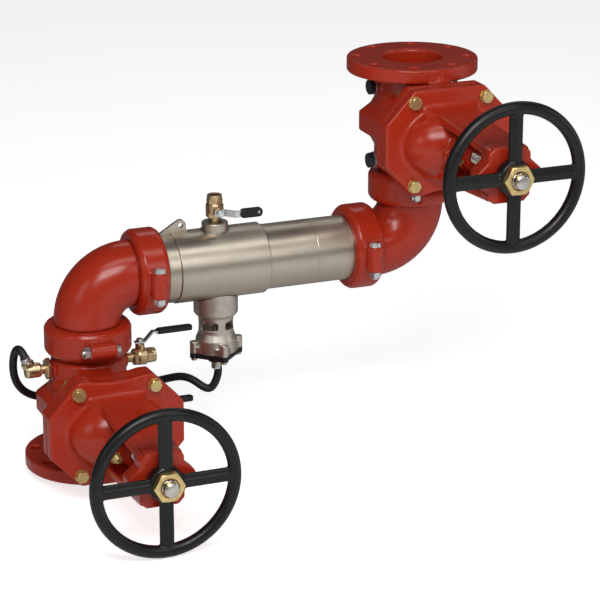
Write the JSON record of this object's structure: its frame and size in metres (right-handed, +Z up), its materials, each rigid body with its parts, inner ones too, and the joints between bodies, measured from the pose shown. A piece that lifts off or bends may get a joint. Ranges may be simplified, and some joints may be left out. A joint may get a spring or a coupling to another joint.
{
  "type": "backflow preventer",
  "caption": "Z-pattern reduced-pressure backflow preventer: flanged rising-stem gate valves, grooved elbows, stainless double-check tube, bottom relief valve, test cocks and sensing hose.",
  "frame": {"origin": "centre of the inlet flange's face, on the inlet riser's axis", "axes": "+Z up the risers towards the outlet flange's outward face, +X along the check tube in the flow direction, handwheels towards -Y"},
  "size_m": [0.9213, 0.5523, 0.6934],
  "materials": {
    "black_cover": "black painted cover",
    "black_enamel": "semi-gloss black enamel over cast iron",
    "black_rubber": "matt black moulded rubber",
    "black_steel": "black oxide steel",
    "black_vinyl": "dipped black vinyl",
    "brass": "machined brass",
    "bright_zinc": "bright zinc plate",
    "bronze": "machined bronze",
    "chrome": "polished chrome plate",
    "packing": "graphite-grey braided packing",
    "red_enamel": "gloss red enamel over cast ductile iron",
    "relief_casting": "bead-blasted cast stainless steel",
    "stainless": "satin brushed stainless steel",
    "stainless_cast": "as-cast stainless steel",
    "stem_steel": "turned stainless steel",
    "yellow_zinc": "yellow-passivated zinc plate"
  },
  "bodies": {
    "frame": {"bonnet_bolts": "yellow_zinc", "bonnet_gaskets": "black_rubber", "check_1_seat": "stainless_cast", "check_2_seat": "stainless_cast", "check_housing": "stainless", "check_pins": "stainless", "check_sleeve": "stainless", "check_springs": "stainless", "cock_bodies": "brass", "coupling_bolts": "bright_zinc", "coupling_gaskets": "black_rubber", "gland_studs": "yellow_zinc", "glands": "red_enamel", "hose_fittings": "brass", "inlet_bonnet": "red_enamel", "inlet_elbow": "red_enamel", "inlet_riser_coupling": "red_enamel", "inlet_tube_coupling": "red_enamel", "inlet_valve_body": "red_enamel", "outlet_bonnet": "red_enamel", "outlet_elbow": "red_enamel", "outlet_riser_coupling": "red_enamel", "outlet_tube_coupling": "red_enamel", "outlet_valve_body": "red_enamel", "pipe_plugs": "black_steel", "relief_body": "relief_casting", "relief_bolts": "stainless", "relief_cover": "black_cover", "relief_diaphragm": "black_rubber", "relief_spring": "stainless", "sensing_hose": "black_rubber", "sleeve_seals": "black_rubber", "stem_packings": "packing"},
    "inlet_wheel": {"inlet_handwheel": "black_enamel", "inlet_wheel_nut": "brass", "inlet_yoke_nut": "bronze"},
    "outlet_wheel": {"outlet_handwheel": "black_enamel", "outlet_wheel_nut": "brass", "outlet_yoke_nut": "bronze"},
    "inlet_gate": {"inlet_stem": "stem_steel", "inlet_wedge": "black_rubber"},
    "outlet_gate": {"outlet_stem": "stem_steel", "outlet_wedge": "black_rubber"},
    "check_1_flap": {"check_1_clapper": "stainless_cast", "check_1_disc": "black_rubber"},
    "check_2_flap": {"check_2_clapper": "stainless_cast", "check_2_disc": "black_rubber"},
    "relief_plunger": {"relief_stem": "stainless"},
    "cock_1": {"cock_1_ball": "chrome", "cock_1_lever": "bright_zinc", "cock_1_grip": "black_vinyl"},
    "cock_2": {"cock_2_ball": "chrome", "cock_2_lever": "bright_zinc", "cock_2_grip": "black_vinyl"},
    "cock_3": {"cock_3_ball": "chrome", "cock_3_lever": "bright_zinc", "cock_3_grip": "black_vinyl"},
    "cock_4": {"cock_4_ball": "chrome", "cock_4_lever": "bright_zinc", "cock_4_grip": "black_vinyl"}
  },
  "joints": [
    {"name": "inlet_wheel_turn", "type": "hinge", "parent": "frame", "child": "inlet_wheel", "pos_m": [0, -0.404, 0.1143], "axis": [0, -1, 0], "range_deg": [0, 5760]},
    {"name": "inlet_stem_rise", "type": "slide", "parent": "frame", "child": "inlet_gate", "axis": [0, -1, 0], "range_m": [0, 0.1017]},
    {"name": "outlet_wheel_turn", "type": "hinge", "parent": "frame", "child": "outlet_wheel", "pos_m": [0.6027, -0.404, 0.5533], "axis": [0, -1, 0], "range_deg": [0, 5760]},
    {"name": "outlet_stem_rise", "type": "slide", "parent": "frame", "child": "outlet_gate", "axis": [0, -1, 0], "range_m": [0, 0.1017]},
    {"name": "check_1_swing", "type": "hinge", "parent": "frame", "child": "check_1_flap", "pos_m": [0.18, 0, 0.3758], "axis": [0, -1, 0], "range_deg": [0, 65], "stiffness_Nm_per_rad": 0.6, "springref_deg": -22.92},
    {"name": "check_2_swing", "type": "hinge", "parent": "frame", "child": "check_2_flap", "pos_m": [0.34, 0, 0.3758], "axis": [0, -1, 0], "range_deg": [0, 65], "stiffness_Nm_per_rad": 0.6, "springref_deg": -22.92},
    {"name": "relief_open", "type": "slide", "parent": "frame", "child": "relief_plunger", "axis": [0, 0, -1], "range_m": [0, 0.008], "stiffness_N_per_m": 2500, "springref_m": -0.006},
    {"name": "cock_1_turn", "type": "hinge", "parent": "frame", "child": "cock_1", "pos_m": [0.093, 0, 0.0483], "axis": [0, 0, -1], "range_deg": [0, 90]},
    {"name": "cock_2_turn", "type": "hinge", "parent": "frame", "child": "cock_2", "pos_m": [0.093, 0, 0.1803], "axis": [0, 0, -1], "range_deg": [0, 90]},
    {"name": "cock_3_turn", "type": "hinge", "parent": "frame", "child": "cock_3", "pos_m": [0.2335, 0, 0.4298], "axis": [0, -1, 0], "range_deg": [0, 90]},
    {"name": "cock_4_turn", "type": "hinge", "parent": "frame", "child": "cock_4", "pos_m": [0.6957, 0, 0.4873], "axis": [0, 0, -1], "range_deg": [0, 90]}
  ],
  "couplings": [
    {"joint": "inlet_stem_rise", "follows": "inlet_wheel_turn", "m_per_rad": 0.0010106},
    {"joint": "outlet_stem_rise", "follows": "outlet_wheel_turn", "m_per_rad": 0.0010106}
  ]
}
